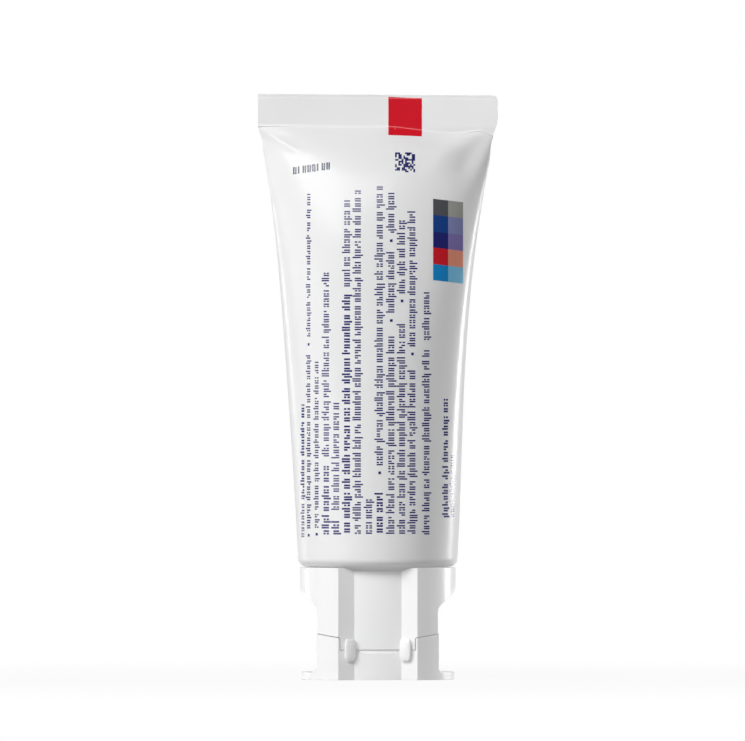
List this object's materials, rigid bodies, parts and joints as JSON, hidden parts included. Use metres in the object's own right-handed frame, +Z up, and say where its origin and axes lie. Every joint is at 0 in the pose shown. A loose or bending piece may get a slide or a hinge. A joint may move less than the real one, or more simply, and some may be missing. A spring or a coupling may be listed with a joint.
{
  "type": "toothpaste tube",
  "caption": "Stand-up toothpaste tube: full laminate sleeve with a flat end seal, moulded shoulder and neck, and a flip-top closure on a living hinge that is also its foot.",
  "frame": {"origin": "centre of the foot of the lid, on the surface that the tube stands on", "axes": "+Z up the tube to the flat seal, X along the seal, the hinge at the back towards -Y"},
  "size_m": [0.0628, 0.038, 0.1529],
  "materials": {
    "sleeve_laminate": "glossy white laminate film",
    "shoulder_plastic": "natural white moulded polyethylene",
    "paste": "smooth wet paste",
    "closure_plastic": "glossy white moulded polypropylene"
  },
  "bodies": {
    "tube": {"tube_sleeve": "sleeve_laminate", "tube_shoulder": "shoulder_plastic", "toothpaste": "paste", "cap_shell": "closure_plastic", "living_hinge": "closure_plastic"},
    "lid": {"cap_lid": "closure_plastic"}
  },
  "joints": [
    {"name": "lid_hinge", "type": "hinge", "parent": "tube", "child": "lid", "pos_m": [0, -0.01584, 0.0078], "axis": [-1, 0, 0], "range_deg": [0, 150], "deforming": ["living_hinge"]}
  ]
}
